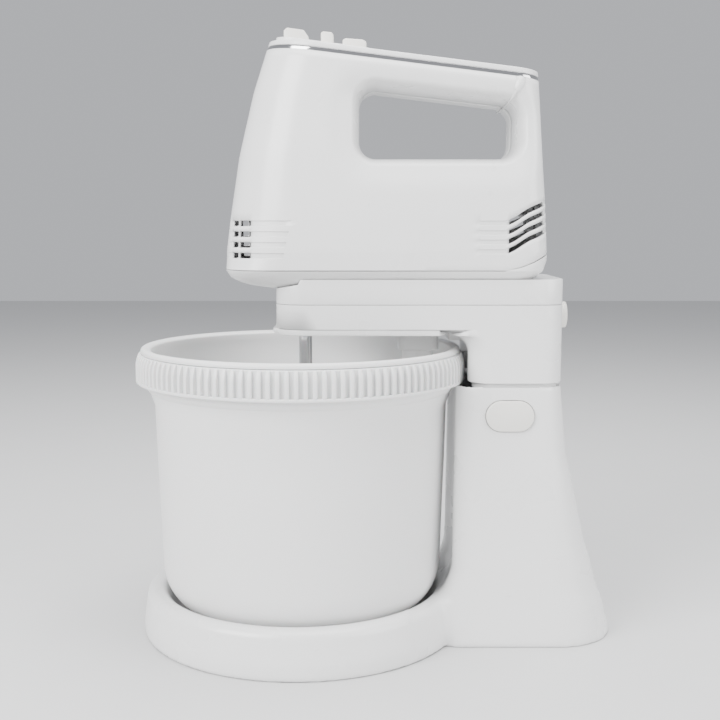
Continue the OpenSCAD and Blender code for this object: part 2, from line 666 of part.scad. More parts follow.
module worm_shaft() color("silver") difference() {
    union() {
        shaft_x(-16, 102, shaft_r);
        translate([-7, 0, motor_z]) rotate([0, 90, 0]) cylinder(r = worm_r - 1, h = 20);
        for (k = [0:6]) translate([-6.4 + k * 2.8, 0, motor_z]) rotate([0, 90, 0]) cylinder(r = worm_r, h = 1.4);
    }
}
module armature() color("chocolate") difference() {
    union() {
        shaft_x(stator_u0, stator_u1, 15);
        shaft_x(stator_u0 - 5, stator_u1 + 5, 12);
    }
    shaft_x(0, 90, shaft_r);
    for (a = [0:30:330]) translate([0, 0, motor_z]) rotate([a, 0, 0]) block(stator_u0 - 1, stator_u1 + 1, -0.8, 0.8, 12.4, 16);
}
module commutator() color("peru") difference() {
    shaft_x(69, 79, 8);
    shaft_x(60, 90, shaft_r);
}
module brush_holders() color("gold") both_sides() difference() {
    block(70, 78, 8.6, 24.6, motor_z - 4, motor_z + 4);
    block(71.6, 76.4, 8, 23, motor_z - 2.6, motor_z + 2.6);
}
module carbon_brushes() color("black") both_sides() block(71.6, 76.4, 8.1, 18, motor_z - 2.6, motor_z + 2.6);
module cooling_fan() color("white") difference() {
    union() {
        shaft_x(84, 91, 6);
        for (a = [0:40:320]) translate([0, 0, motor_z]) rotate([a, 0, 0]) block(84, 91, -0.7, 0.7, 5, 22);
        shaft_x(84, 85.2, 22);
    }
    shaft_x(80, 95, shaft_r);
}

// ---- Controls --------------------------------------------------------------------------------------

eject_u0 = -8.8;
eject_u1 = 6;
slider_u0 = 13.4;
slider_u1 = 21.1;
slider_travel = 6;
turbo_u0 = 26.7;
turbo_u1 = 41.1;
turbo_spring_z = 341;
board_z = 336;
module circuit_board() color("seagreen") difference() {
    slab(2, 33, 24, board_z, board_z + 1.6);
    slab(-2, 8, 6, board_z - 1, board_z + 3);
}
module speed_switch() color("black") slab(9.5, 24, 8, board_z + 1.6, board_z + 9);

module eject_button() color("ivory") {
    intersection() {
        side_prism([[eject_u0, 350], [eject_u0, platform_z(eject_u0) + 5], [eject_u0 + 2, platform_z(eject_u0) + 6.6],
            [eject_u0 + 12, platform_z(eject_u0) + 5.2], [eject_u1, platform_z(eject_u0) + 1.4], [eject_u1, 350]], -9, 9);
        slab(eject_u0, eject_u1, 9, 356, 390);
    }
    slab(-2, 4, 3, 279, 357);
    block(beater_u - 4, beater_u + 4, -beater_half - 4, beater_half + 4, 276, 279.5);
}
module eject_spring() color("silver") translate([1, 0, board_z + 2]) coil(5.2, 0.5, 17, 5);

module speed_slider() color("ivory") {
    side_prism([[slider_u0, 349], [slider_u0, 371.8], [slider_u0 + 1.5, 372.4], [slider_u1 - 1.2, 372],
        [slider_u1, 370.4], [slider_u1, 349]], -4, 4);
    slab(slider_u0, slider_u1, 6, 347, 349.4);
}

module turbo_button() color("ivory") {
    side_prism([[turbo_u0, 352], [turbo_u0, 366.8], [turbo_u0 + 2, 367.6], [turbo_u1 - 2, 366.8],
        [turbo_u1, 365.4], [turbo_u1, 352]], -9, 9);
    slab(31, 34, 3, 346, 353);
}
module turbo_spring() color("silver") translate([turbo_u1 - 3.3, 0, turbo_spring_z]) coil(3, 0.4, 10.2, 4);

module housing_screws() color("silver") for (p = [[-24, 300], [20, 300], [140, 262], [20, 330]])
    side_rod(p[0], p[1], 1.6, -18, 18);

module cord_gland() color("whitesmoke") difference() {
    union() {
        side_rod(gland_u, gland_z, gland_r, gland_y - 9, gland_y + 1);
        side_rod(gland_u, gland_z, gland_r + 1.5, gland_y - 7, gland_y - 4);
        side_rod(gland_u, gland_z, gland_r + 1.5, gland_y + 0.4, gland_y + 2);
    }
    side_rod(gland_u, gland_z, gland_r - 1.3, 30, 60);
}

frame() {
    stand_housing();
    bottom_cover();
    rubber_feet();
    cover_screws();
    hinge_pin();
    turntable_pin();
    glide_ring();
    tilt_button();
    tilt_spring();
    turntable();
    bowl();
    bowl_ring();
    arm_housing();
    arm_cover();
    arm_bottom_plate();
    tilt_bracket();
    bracket_screws();
    pivot_bushes();
    pinion_bushes();
    gear_lug();
    bowl_scraper();
    drive_belt();
    drive_pinion();
    big_pulley();
    drive_sleeve();
    release_button();
    release_spring();
    mixer_housing_left();
    mixer_housing_right();
    top_cover();
    chrome_trim();
    bottom_pan();
    gearbox_frame();
    rear_bearing_bracket();
    motor_stator();
    field_coils();
    motor_bearings();
    brush_holders();
    carbon_brushes();
    circuit_board();
    speed_switch();
    housing_screws();
    cord_gland();
    eject_spring();
    turbo_spring();
    worm_shaft();
    armature();
    commutator();
    cooling_fan();
    worm_wheel_left();
    worm_wheel_right();
    beater_left();
    beater_right();
    eject_button();
    turbo_button();
    speed_slider();
}
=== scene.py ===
# %% [markdown]
# # Stand mixer
# A hand mixer is docked on an arm that tilts, above a bowl that turns on a round base. The frame
# holds the CAD model, its bodies and its joints. This lesson gives it its finished shapes and
# surfaces: mouldings with rounded edges, a hollow body with a handle hole and vents, a ribbed ring,
# and plastics, chrome and steel that react to light as the real ones do.

# %% Load the frame
import json
import math
import bmesh
import bpy
import numpy as np
from mathutils import Matrix, Vector


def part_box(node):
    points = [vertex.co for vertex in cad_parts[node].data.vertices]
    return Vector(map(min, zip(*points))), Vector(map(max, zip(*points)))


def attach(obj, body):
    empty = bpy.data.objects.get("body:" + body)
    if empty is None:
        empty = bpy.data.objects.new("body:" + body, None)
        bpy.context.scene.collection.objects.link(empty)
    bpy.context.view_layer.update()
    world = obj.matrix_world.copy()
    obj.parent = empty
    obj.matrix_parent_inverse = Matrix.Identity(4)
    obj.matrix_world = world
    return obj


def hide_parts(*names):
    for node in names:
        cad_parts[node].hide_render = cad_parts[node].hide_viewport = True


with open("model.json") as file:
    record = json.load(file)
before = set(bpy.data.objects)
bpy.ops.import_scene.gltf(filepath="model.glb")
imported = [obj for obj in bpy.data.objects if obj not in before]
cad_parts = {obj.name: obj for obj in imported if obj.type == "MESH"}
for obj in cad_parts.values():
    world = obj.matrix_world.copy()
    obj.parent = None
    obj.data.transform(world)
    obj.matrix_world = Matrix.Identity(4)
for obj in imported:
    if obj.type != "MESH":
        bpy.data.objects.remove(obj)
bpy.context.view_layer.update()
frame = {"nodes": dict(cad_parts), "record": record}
MM = 0.001

# %% [markdown]
# Places are counted from the bowl's axis, because the bowl, its ring and the base are round about
# it. One function turns a distance from that axis and two more coordinates, in millimetres, into a
# point of the frame.

# %% Places
ring_low, ring_high = (np.array(c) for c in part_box("bowl_ring"))
AXIS_X = float(ring_low[0] + ring_high[0]) / 2
RING_R = float(ring_high[0] - ring_low[0]) / 2 / MM


def at(u, y, z):
    """Point that lies u from the bowl's axis towards the column, in millimetres."""
    return Vector((AXIS_X + u * MM, y * MM, z * MM))


print("bowl axis at x =", round(AXIS_X, 4), "ring radius", round(RING_R, 1), "mm")

# %% [markdown]
# The camera stands level with the mixer's side, a little above the bowl's rim, and looks slightly
# down. It comes first, so that every later step can be judged from the same place.

# %% Camera
CAMERA_U, CAMERA_Y, CAMERA_Z = 37.2, -690, 256
CAMERA_TILT = 7.05
camera_data = bpy.data.cameras.new("camera")
camera_data.lens = 54.85
camera_data.sensor_width = 36
camera = bpy.data.objects.new("camera", camera_data)
camera.location = at(CAMERA_U, CAMERA_Y, CAMERA_Z)
camera.rotation_euler = (math.radians(90 - CAMERA_TILT), 0, 0)
bpy.context.scene.collection.objects.link(camera)
bpy.context.scene.camera = camera
print("camera at", [round(c, 3) for c in camera.location])

# %% [markdown]
# A material is a small graph of nodes. Moulded plastic is never perfectly even: its gloss changes a
# little from place to place, and its skin has a very fine texture from the mould. Several plastics
# share this, so it is built once as a node group with inputs, and each material gives it its own
# values. The group puts out a colour, a roughness and a normal, and the shader stays outside it.

# %% The moulded skin group
MIX_FROM, MIX_TO, MIX_RESULT = 6, 7, 2  # a mix node's sockets for colours


def add_node(tree, kind, place, **values):
    """A new node; each value goes to the node's own setting of that name, or else to its input."""
    node = tree.nodes.new(kind)
    node.location = place
    for name, value in values.items():
        if hasattr(node, name):
            setattr(node, name, value)
        else:
            node.inputs[name.replace("_", " ")].default_value = value
    return node


def socket(tree, name, direction, kind, value=None):
    """A socket on the outside of a node group, with the value it has when nothing is linked."""
    made = tree.interface.new_socket(name=name, in_out=direction, socket_type=kind)
    if value is not None:
        made.default_value = value


def skin_group():
    """Noise at two scales: broad cloudiness of the gloss, and the fine texture of the mould."""
    tree = bpy.data.node_groups.new("moulded_skin", "ShaderNodeTree")
    socket(tree, "Vector", "INPUT", "NodeSocketVector")
    socket(tree, "Base", "INPUT", "NodeSocketColor", (0.8, 0.8, 0.8, 1))
    socket(tree, "Shade", "INPUT", "NodeSocketColor", (0.7, 0.7, 0.7, 1))
    socket(tree, "Gloss low", "INPUT", "NodeSocketFloat", 0.3)
    socket(tree, "Gloss high", "INPUT", "NodeSocketFloat", 0.4)
    socket(tree, "Grain size", "INPUT", "NodeSocketFloat", 900.0)
    socket(tree, "Grain depth", "INPUT", "NodeSocketFloat", 0.05)
    socket(tree, "Color", "OUTPUT", "NodeSocketColor")
    socket(tree, "Roughness", "OUTPUT", "NodeSocketFloat")
    socket(tree, "Normal", "OUTPUT", "NodeSocketVector")
    given = add_node(tree, "NodeGroupInput", (-800, 0))
    result = add_node(tree, "NodeGroupOutput", (500, 0))
    cloud = add_node(tree, "ShaderNodeTexNoise", (-500, 200), Scale=26.0, Detail=3.0)
    grain = add_node(tree, "ShaderNodeTexNoise", (-500, -200), Detail=2.0)
    colour = add_node(tree, "ShaderNodeMix", (-100, 250), data_type="RGBA")
    gloss = add_node(tree, "ShaderNodeMapRange", (-100, 0))
    bump = add_node(tree, "ShaderNodeBump", (200, -250), Distance=0.0002)
    link = tree.links.new
    link(given.outputs["Vector"], cloud.inputs["Vector"])
    link(given.outputs["Vector"], grain.inputs["Vector"])
    link(given.outputs["Grain size"], grain.inputs["Scale"])
    link(cloud.outputs["Fac"], colour.inputs["Factor"])
    link(given.outputs["Shade"], colour.inputs[MIX_FROM])
    link(given.outputs["Base"], colour.inputs[MIX_TO])
    link(cloud.outputs["Fac"], gloss.inputs["Value"])
    link(given.outputs["Gloss low"], gloss.inputs["To Min"])
    link(given.outputs["Gloss high"], gloss.inputs["To Max"])
    link(given.outputs["Grain depth"], bump.inputs["Strength"])
    link(grain.outputs["Fac"], bump.inputs["Height"])
    link(colour.outputs[MIX_RESULT], result.inputs["Color"])
    link(gloss.outputs["Result"], result.inputs["Roughness"])
    link(bump.outputs["Normal"], result.inputs["Normal"])
    return tree


SKIN = skin_group()
print("node group:", SKIN.name)

# %% [markdown]
# Each finish is a Principled shader fed by the group. Values that are the same all over, such as
# the coat or the metal, are set on the shader's own sockets.

# %% Finishes
FINISHES = {}


def finish(name, base, shade, gloss, grain, depth, **constants):
    """A material whose colour, roughness and normal come from the moulded skin group."""
    material = bpy.data.materials.new(name)
    material.use_nodes = True
    tree = material.node_tree
    shader = tree.nodes["Principled BSDF"]
    place = add_node(tree, "ShaderNodeTexCoord", (-700, 0))
    skin = add_node(tree, "ShaderNodeGroup", (-400, 0), node_tree=SKIN)
    skin.inputs["Base"].default_value = (*base, 1)
    skin.inputs["Shade"].default_value = (*shade, 1)
    skin.inputs["Gloss low"].default_value = gloss[0]
    skin.inputs["Gloss high"].default_value = gloss[1]
    skin.inputs["Grain size"].default_value = grain
    skin.inputs["Grain depth"].default_value = depth
    tree.links.new(place.outputs["Object"], skin.inputs["Vector"])
    tree.links.new(skin.outputs["Color"], shader.inputs["Base Color"])
    tree.links.new(skin.outputs["Roughness"], shader.inputs["Roughness"])
    tree.links.new(skin.outputs["Normal"], shader.inputs["Normal"])
    for socket_name, value in constants.items():
        shader.inputs[socket_name.replace("_", " ")].default_value = value
    FINISHES[name] = material
    return material


finish("white_plastic", (0.80, 0.80, 0.795), (0.775, 0.775, 0.77), (0.24, 0.33), 1500.0, 0.03,
       Coat_Weight=0.15, Coat_Roughness=0.12)
finish("bowl_white", (0.79, 0.79, 0.785), (0.765, 0.765, 0.76), (0.34, 0.44), 900.0, 0.05,
       Subsurface_Weight=0.06, Subsurface_Scale=0.004)
finish("ivory_plastic", (0.80, 0.785, 0.74), (0.77, 0.755, 0.71), (0.32, 0.42), 1200.0, 0.05)
finish("chrome", (0.6, 0.6, 0.61), (0.55, 0.55, 0.56), (0.06, 0.14), 500.0, 0.01, Metallic=1.0)
finish("bright_steel", (0.8, 0.79, 0.77), (0.72, 0.71, 0.69), (0.22, 0.36), 1800.0, 0.05, Metallic=1.0)
finish("grey_nylon", (0.6, 0.6, 0.6), (0.54, 0.54, 0.54), (0.45, 0.6), 700.0, 0.1)
finish("black_plastic", (0.03, 0.03, 0.03), (0.02, 0.02, 0.02), (0.4, 0.55), 900.0, 0.1)
finish("black_rubber", (0.035, 0.035, 0.035), (0.02, 0.02, 0.02), (0.6, 0.8), 1200.0, 0.15)
finish("lamination", (0.13, 0.13, 0.14), (0.08, 0.08, 0.09), (0.35, 0.55), 2500.0, 0.2, Metallic=0.8)
finish("copper", (0.55, 0.22, 0.09), (0.42, 0.15, 0.06), (0.25, 0.4), 1500.0, 0.2, Metallic=0.9)
finish("bronze", (0.5, 0.34, 0.14), (0.4, 0.26, 0.1), (0.3, 0.5), 1600.0, 0.15, Metallic=1.0)
finish("board_green", (0.02, 0.16, 0.07), (0.015, 0.12, 0.05), (0.25, 0.4), 600.0, 0.1)
SLOT_OF = {s["node"]: s["material_slot"] for s in frame["record"]["subparts"]}
for node_name, node_object in frame["nodes"].items():
    node_object.data.materials.clear()
    node_object.data.materials.append(FINISHES[SLOT_OF[node_name]])
print(len(FINISHES), "finishes on", len(frame["nodes"]), "nodes")

# %% [markdown]
# Every new piece is made the same way: a bmesh is turned into an object, shaded smooth except along
# its real edges, given the finish and the body of its CAD node, and that node is hidden.

# %% Turning a bmesh into a piece
BODIES = frame["record"]["behaviour"]["bodies"]
BODY_OF = {node: body for body, nodes in BODIES.items() for node in nodes}
SHARP = 32.0
MERGE = 0.02 * MM  # points closer than this become one


def piece(name, bm, node, sharp=SHARP, wall=None):
    """Makes an object that stands for a CAD node; edges of more than sharp degrees stay sharp."""
    mesh = bpy.data.meshes.new(name)
    bm.to_mesh(mesh)
    bm.free()
    mesh.shade_smooth()
    mesh.set_sharp_from_angle(angle=math.radians(sharp))
    made = bpy.data.objects.new(name, mesh)
    bpy.context.scene.collection.objects.link(made)
    mesh.materials.append(FINISHES[SLOT_OF[node]])
    if wall:
        solid = made.modifiers.new("wall", "SOLIDIFY")
        solid.thickness = wall * MM
        solid.offset = -1
        solid.use_even_offset = False
    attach(made, BODY_OF[node])
    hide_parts(node)
    print(name, len(mesh.polygons), "faces")
    return made


def baked(made):
    """Replaces a piece's mesh by what its modifiers make of it."""
    bpy.context.view_layer.update()
    ready = made.evaluated_get(bpy.context.evaluated_depsgraph_get())
    fresh = bpy.data.meshes.new_from_object(ready)
    made.modifiers.clear()
    made.data = fresh
    fresh.set_sharp_from_angle(angle=math.radians(SHARP))


def carved(made, cutter):
    """Cuts the closed bmesh cutter out of a piece and leaves no modifier on it."""
    tool_mesh = bpy.data.meshes.new("cutter")
    cutter.to_mesh(tool_mesh)
    cutter.free()
    tool = bpy.data.objects.new("cutter", tool_mesh)
    bpy.context.scene.collection.objects.link(tool)
    cut = made.modifiers.new("cut", "BOOLEAN")
    cut.operation = "DIFFERENCE"
    cut.solver = "EXACT"
    cut.object = tool
    baked(made)
    bpy.data.objects.remove(tool)


def grow(bm, edges):
    """Extrudes a chain of edges in place; returns the new edges and each old point's new twin."""
    old = {v for e in edges for v in e.verts}
    made = bmesh.ops.extrude_edge_only(bm, edges=edges)["geom"]
    fresh = {v for v in made if isinstance(v, bmesh.types.BMVert)}
    twins = {o: e.other_vert(o) for o in old for e in o.link_edges if e.other_vert(o) in fresh}
    chain = [e for e in made if isinstance(e, bmesh.types.BMEdge) and set(e.verts) <= fresh]
    return chain, twins


def absorb(bm, other):
    """Adds everything of another bmesh to this one and frees the other."""
    mesh = bpy.data.meshes.new("passed_on")
    other.to_mesh(mesh)
    other.free()
    bm.from_mesh(mesh)
    bpy.data.meshes.remove(mesh)


def loft(sections, caps=True):
    """Joins closed outlines, each a list of as many points, from the first to the last."""
    bm = bmesh.new()
    ring = bmesh.ops.create_circle(bm, segments=len(sections[0]), radius=1)["verts"]
    chain = bm.edges[:]
    ends = [chain]
    for v, point in zip(ring, sections[0]):
        v.co = point
    for section in sections[1:]:
        chain, twins = grow(bm, chain)
        ring = [twins[v] for v in ring]
        for v, point in zip(ring, section):
            v.co = point
    ends.append(chain)
    if caps:
        for end in ends:
            bmesh.ops.contextual_create(bm, geom=end)
    bmesh.ops.recalc_face_normals(bm, faces=bm.faces)
    return bm


# %% [markdown]
# Many mouldings have the right shape in CAD and only lack the small radius that every real edge
# has. A copy of such a node is cleaned: its triangles are merged back into flat faces, and its
# sharp edges are bevelled. The light then catches the edges as it does on a real moulding.

# %% Rounding the edges of a CAD shape
FLAT_WITHIN, EDGE_FROM = math.radians(0.6), math.radians(28)


def rounded(node, radius):
    """A copy of a CAD node whose edges have a small radius, in millimetres."""
    bm = bmesh.new()
    bm.from_mesh(frame["nodes"][node].data)
    bmesh.ops.remove_doubles(bm, verts=bm.verts, dist=0.01 * MM)
    bmesh.ops.dissolve_limit(bm, angle_limit=FLAT_WITHIN, verts=bm.verts, edges=bm.edges)
    edges = [e for e in bm.edges if len(e.link_faces) == 2 and e.calc_face_angle(0) > EDGE_FROM]
    bmesh.ops.bevel(bm, geom=edges, offset=radius * MM, segments=2, affect="EDGES", profile=0.5,
                    clamp_overlap=True, material=-1)
    piece(node + "_moulding", bm, node, sharp=40.0)


ROUNDED = {"arm_cover": 1.1, "arm_bottom_plate": 0.5, "gear_lug": 0.6, "bowl_scraper": 1.0,
           "tilt_button": 0.8, "release_button": 0.7, "speed_slider": 0.7, "eject_button": 0.9,
           "turbo_button": 0.8, "rubber_feet": 0.15, "cord_gland": 0.3}
for node_name, radius in ROUNDED.items():
    rounded(node_name, radius)

# %% [markdown]
# The bowl is round, so its outline is drawn once as a short chain of points and spun about the
# axis. The wall has a small bead at the rim, which keeps a thin plastic bowl stiff.

# %% Bowl
BOWL_LOW, BOWL_HIGH = (np.array(c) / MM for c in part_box("bowl"))
RING_Z, RING_TOP = float(ring_low[2]) / MM, float(ring_high[2]) / MM
TURN_STEPS = 160


def arc(u, z, r, start, stop, steps):
    """Points of an arc in the plane of the outline, from one angle to another."""
    angles = [math.radians(start + (stop - start) * i / steps) for i in range(steps + 1)]
    return [(u + r * math.cos(a), z + r * math.sin(a)) for a in angles]


def spun(outline):
    """Spins a closed chain of (radius, height) points about the bowl's axis."""
    bm = bmesh.new()
    chain = [bm.verts.new(at(r, 0, z)) for r, z in outline]
    for low, high in zip(chain, chain[1:] + chain[:1]):
        bm.edges.new((low, high))
    bmesh.ops.spin(bm, geom=bm.verts[:] + bm.edges[:], cent=at(0, 0, 0), axis=(0, 0, 1), angle=math.tau,
                   steps=TURN_STEPS, use_merge=True)
    bmesh.ops.remove_doubles(bm, verts=bm.verts, dist=MERGE)
    bmesh.ops.recalc_face_normals(bm, faces=bm.faces)
    return bm


floor_z, rim_z = float(BOWL_LOW[2]), float(BOWL_HIGH[2])
bowl_outline = (
    [(0.2, floor_z), (50, floor_z)] + arc(56.4, floor_z + 32, 32, -88, 0, 14)
    + [(89.6, 80), (90.7, 110), (91.6, 145)] + arc(RING_R - 5.6 - 5.6, RING_Z - 1.2, 5.5, -60, 0, 4)
    + [(RING_R - 5.6, RING_TOP)] + arc(RING_R - 5.4, RING_TOP + 1.2, 2.3, -20, 90, 6)
    + arc(RING_R - 8, rim_z - 1.6, 1.5, 90, 175, 4)
    + [(RING_R - 8.6, RING_TOP - 3), (RING_R - 8.1, RING_Z + 2), (89.5, 146), (88.2, 110), (87.1, 80)]
    + arc(56.4, floor_z + 33.9, 29.5, 0, -88, 14) + [(0.2, floor_z + 4.4)])
piece("bowl_shell", spun(bowl_outline), "bowl")

# %% [markdown]
# The ring round the rim works as a gear: a pinion in the arm grips its ribs and turns the bowl.
# One rib is made from a cube, its outer edges are bevelled and its top is drawn in to an arch, and
# spin repeats it all the way round. The band behind the ribs is spun from its own outline.

# %% Ring with ribs
RIB_COUNT, RIB_GAP = 124, 2.9
RIB_FOOT = RING_R - 2.7
RIB_OUTER_X = AXIS_X + (RIB_FOOT + 0.1) * MM
ARCH_FROM, ARCH_DEPTH = 0.72, 2.2
flange_top = RING_Z + 1.9
band = spun([(RING_R - 5.4, RING_Z), (RING_R - 0.5, RING_Z), (RING_R, RING_Z + 0.5),
             (RING_R, flange_top - 0.4), (RING_R - 0.4, flange_top), (RIB_FOOT, flange_top),
             (RIB_FOOT, RING_TOP - 0.6), (RIB_FOOT - 0.5, RING_TOP), (RING_R - 5.4, RING_TOP)])
rib = bmesh.new()
bmesh.ops.create_cube(rib, size=1)
rib_width = math.tau * RING_R / RIB_COUNT - RIB_GAP
for v in rib.verts:
    high = v.co.z > 0
    reach = RIB_FOOT - 0.3 if v.co.x < 0 else RING_R - (2.0 if high else 0.0)
    v.co = at(reach, v.co.y * rib_width, RING_TOP - 0.25 if high else flange_top - 0.3)
middle = [e for e in rib.edges if abs((e.verts[0].co - e.verts[1].co).z) > 5 * MM]
bmesh.ops.subdivide_edges(rib, edges=middle, cuts=4, use_grid_fill=True)
for v in rib.verts:
    share = (v.co.z / MM - flange_top) / (RING_TOP - flange_top)
    if v.co.x > RIB_OUTER_X:
        drawn_in = ARCH_DEPTH * max(0.0, (share - ARCH_FROM) / (1 - ARCH_FROM)) ** 2
        v.co.x = AXIS_X + (RING_R - drawn_in) * MM
edges = [e for e in rib.edges if e.calc_face_angle(0) > 0.7
         and min(v.co.x for v in e.verts) > AXIS_X + RIB_FOOT * MM]
bmesh.ops.bevel(rib, geom=edges, offset=0.55 * MM, segments=2, affect="EDGES", profile=0.5, material=-1)
bmesh.ops.spin(rib, geom=rib.verts[:] + rib.edges[:] + rib.faces[:], cent=at(0, 0, 0), axis=(0, 0, 1),
               angle=math.tau, steps=RIB_COUNT, use_duplicate=True, use_merge=False)
bmesh.ops.rotate(rib, verts=rib.verts, cent=at(0, 0, 0),
                 matrix=Matrix.Rotation(math.pi / RIB_COUNT, 3, "Z"))
absorb(band, rib)
piece("ring_gear", band, "bowl_ring")

# %% [markdown]
# The hand mixer's body is drawn by one function: for a height it gives the nose, the tail, the half
# width and the corner radii, and for a place along the outline it gives the point. The values are
# the CAD's, but the nose's bend differs by a few millimetres. Every row of the surface asks this
# function, so rows can bend without changing the shape, and the vents, the seam and the handle can
# each have rows that follow them.

# %% The surface of the mixer's body
SEAM_Z = 228.6
NOSE = ((217, 219, 221, 224, 228.6, 240, 260, 297, 335, 363, 376),
        (-19, -31, -37, -42, -44.5, -44.6, -42.3, -36.4, -27.4, -18.5, -14.5))
TAIL = ((217, 219, 221, 224, 228.6, 235, 268, 296, 342, 376),
        (113, 128, 136, 142, 146.4, 148.4, 146.9, 145, 142.7, 139.5))
HALF = ((217, 219, 221, 224, 228.6, 240, 260, 297, 335, 350, 376),
        (23.5, 32, 35.7, 40.9, 46.3, 47.4, 47, 44.5, 39.95, 37.6, 32.9))
NOSE_BEND = ((217, 228.6, 236, 260, 376), (24, 31, 37, 40, 30))
REAR_CORNER = 14.0
VENT_TOP = 258.0
FRONT_STEPS, ARC_STEPS, SIDE_STEPS, CORNER_STEPS, TAIL_STEPS = 4, 30, 64, 8, 5
SIDE_FROM, SIDE_TO = 22.0, 132.0
SIDE_LEAD, SIDE_TRAIL = 5, 4


def lookup(z, table):
    """Value at height z in a table of heights and values, in between by straight lines."""
    return float(np.interp(z, *table))


def lid_z(u):
    """Height of the body's upper edge, which falls towards the rear."""
    return 357.5 - 0.1263 * u


def ease(x, low, high):
    """Goes smoothly from 0 at low to 1 at high."""
    t = min(1.0, max(0.0, (x - low) / (high - low)))
    return t * t * (3 - 2 * t)


COLS = [(kind, i / steps)
        for kind, steps in (("front", FRONT_STEPS), ("nose", ARC_STEPS), ("side", SIDE_STEPS),
                            ("corner", CORNER_STEPS), ("tail", TAIL_STEPS))
        for i in range(steps)] + [("tail", 1.0)]


def side_place(share, start, stop):
    """Place along the flat side: even between two fixed places, so that columns run straight up."""
    step = share * SIDE_STEPS
    if step < SIDE_LEAD:
        return start + (SIDE_FROM - start) * step / SIDE_LEAD
    if step > SIDE_STEPS - SIDE_TRAIL:
        return SIDE_TO + (stop - SIDE_TO) * (step - SIDE_STEPS + SIDE_TRAIL) / SIDE_TRAIL
    return SIDE_FROM + (SIDE_TO - SIDE_FROM) * (step - SIDE_LEAD) / (SIDE_STEPS - SIDE_LEAD - SIDE_TRAIL)


def outline(col, z):
    """Point (u, y) of the body's outline at height z, with its outward direction.

    Beside the vents the points of the nose keep their u from row to row, so the slots end in line.
    """
    kind, share = col
    half = lookup(z, HALF)
    u0, u1 = lookup(z, NOSE), lookup(z, TAIL)
    bend = min(half - 1, lookup(z, NOSE_BEND))
    if kind == "front":
        return u0, share * (half - bend), -1.0, 0.0
    if kind == "nose":
        a = math.pi / 2 * share
        level = ease(z, 222, 234) * (1 - ease(z, 262, 272)) * ease(share, 0.02, 0.22)
        if level > 0:
            lined_up = lookup(VENT_TOP, NOSE) + lookup(VENT_TOP, NOSE_BEND) * (1 - math.cos(a))
            a += level * (math.acos(min(1.0, max(0.0, 1 - (lined_up - u0) / bend))) - a)
        return u0 + bend * (1 - math.cos(a)), half - bend * (1 - math.sin(a)), -math.cos(a), math.sin(a)
    if kind == "side":
        return side_place(share, u0 + bend, u1 - REAR_CORNER), half, 0.0, 1.0
    if kind == "corner":
        a = math.pi / 2 * share
        out, across = math.sin(a), math.cos(a)
        return u1 - REAR_CORNER * (1 - out), half - REAR_CORNER * (1 - across), out, across
    return u1, (1 - share) * (half - REAR_CORNER), 1.0, 0.0


def seam_height(u):
    """Height of the seam above the pan, which rises at the rear."""
    return SEAM_Z + float(np.interp(u, (124, 132, 140, 147, 153), (0, 2.2, 5.4, 9, 13)))


# %% [markdown]
# Both ends of the body have rows of vents. In each row a shallow groove runs along the skin and
# opens into slots, through which the motor breathes. At the rear the rows bend upwards. The faces
# of the slots are left out, and the wall, added afterwards, gives them their depth.

# %% Rows and vents
VENT_ROWS, HIGH_ROWS = 4, 22
HIGH_START = 263.0
GROOVE_DEPTH, SEAM_DEPTH = 1.0, 0.5
GROOVE_FROM, NOSE_SLOTS = 6, ((7, 11), (12, 17))
REAR_SLOTS = ((122.5, 136.5), (139.5, math.inf))
ROWS = [("seam", 0.0), ("low", 0.09), ("low", 0.4), ("low", 0.8)]
for k in range(VENT_ROWS):
    ROWS += [("vent", (k, part)) for part in (0.0, 0.14, 0.86, 1.0)]
ROWS += [("high", i / HIGH_ROWS) for i in range(HIGH_ROWS + 1)]


def row_height(row, u):
    """Height of a row where it crosses u; the rows of the vents bend up towards the rear."""
    kind, value = row
    rear = ease(u, 60, 100)
    lift = 9 * ease(u, 121, 141) + 5 * ease(u, 138, 152)
    seam = seam_height(u)
    vent_low = 236.0 * (1 - rear) + 238.6 * rear + lift
    if kind == "seam":
        return seam + 0.3
    if kind == "low":
        return seam + (vent_low - seam) * value
    start = HIGH_START + 0.8 * lift
    if kind == "high":
        return start + (lid_z(u) - start) * value
    k, part = value
    pitch, width = 6.3 - 0.8 * rear, 3.4 - 0.3 * rear
    return vent_low + pitch * k + width * part


def vent_depth(col, u, row):
    """How far a row lies under the skin, in millimetres: the lower edge, and the vents' grooves."""
    if row[0] == "seam":
        return SEAM_DEPTH
    if row[0] != "vent" or row[1][1] in (0.0, 1.0):
        return 0.0
    front = 1.0 if col[0] == "nose" and round(col[1] * ARC_STEPS) >= GROOVE_FROM else 0.0
    rear = ease(u, 103, 109) if col[0] in ("side", "corner") else 0.0
    return GROOVE_DEPTH * max(front, rear)


def is_slot(col, u, row):
    """True for the faces of a vent row that are open."""
    if row[0] != "vent" or row[1][1] == 1.0:
        return False
    if col[0] == "nose":
        step = round(col[1] * ARC_STEPS)
        return any(first <= step < last for first, last in NOSE_SLOTS)
    if col[0] == "side":
        return any(low < u < high for low, high in REAR_SLOTS)
    return col[0] == "corner" and col[1] < 0.75


# %% [markdown]
# The handle is a hole through the body, with a soft hollow round it that guides the fingers in. The
# surface is left open there. Loops of points then run from that opening to the edge of the hole,
# sink with the hollow, roll round the edge and meet in the middle of the body as a tunnel.

# %% Handle
GRIP_U0, GRIP_U1, GRIP_LOW, GRIP_BEND = 36.6, 130.2, 294.8, 10.0
SCOOP_WIDTH, SCOOP_DEPTH, SCOOP_LOW = 19.0, 5.0, 262.0
FLARE, FLARE_DEPTH = 5.0, 24.0
SKIN_LOOPS = (0.2, 0.38, 0.54, 0.68, 0.8, 0.9, 1.0)
ROLL_LOOPS = (12, 24, 36, 48, 60, 72, 81, 90)
TUNNEL_LOOPS = (0.5, 1.0)


